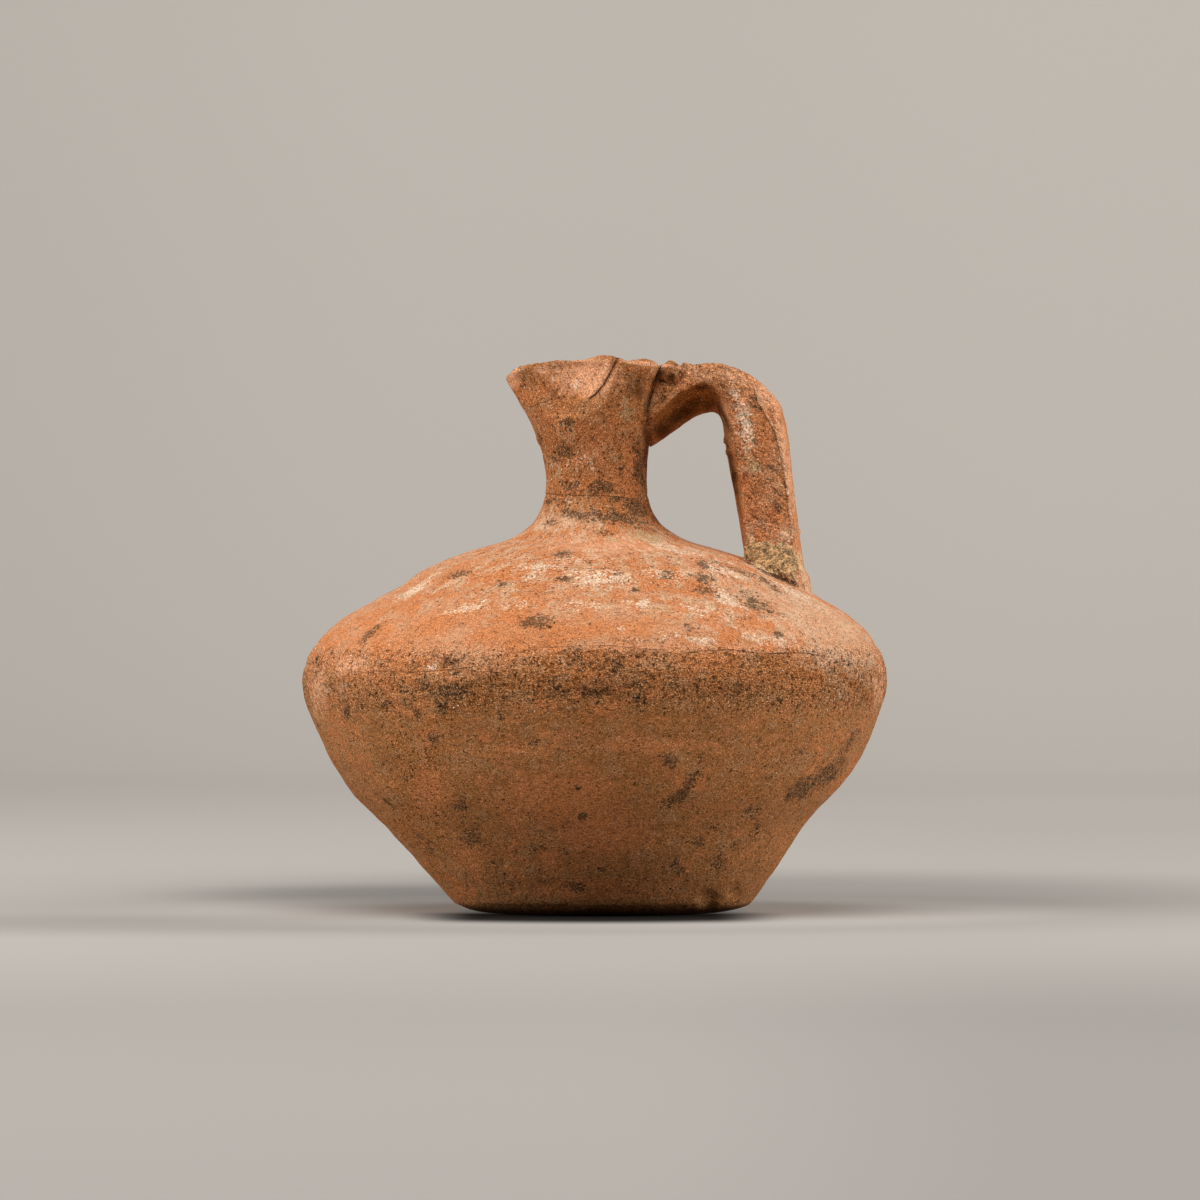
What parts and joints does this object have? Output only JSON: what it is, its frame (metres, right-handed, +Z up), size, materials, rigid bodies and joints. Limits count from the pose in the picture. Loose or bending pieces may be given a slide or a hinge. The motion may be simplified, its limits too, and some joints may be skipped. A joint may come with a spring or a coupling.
{
  "type": "jug",
  "caption": "Wheel-thrown earthenware jug with a wide angular belly, a narrow neck, a mouth pinched to three lobes and one strap handle from rim to shoulder.",
  "frame": {"origin": "on the ground under the middle of the belly: the centre of the bounding box's bottom face", "axes": "+Z up along the wheel axis, +X towards the handle, -X towards the spout, -Y towards the side that the picture shows"},
  "size_m": [0.1942, 0.1942, 0.1839],
  "materials": {
    "earthenware": "unglazed red clay, matt, worn, with soot and earth stains"
  },
  "bodies": {
    "root": {"jug": "earthenware"}
  },
  "joints": []
}
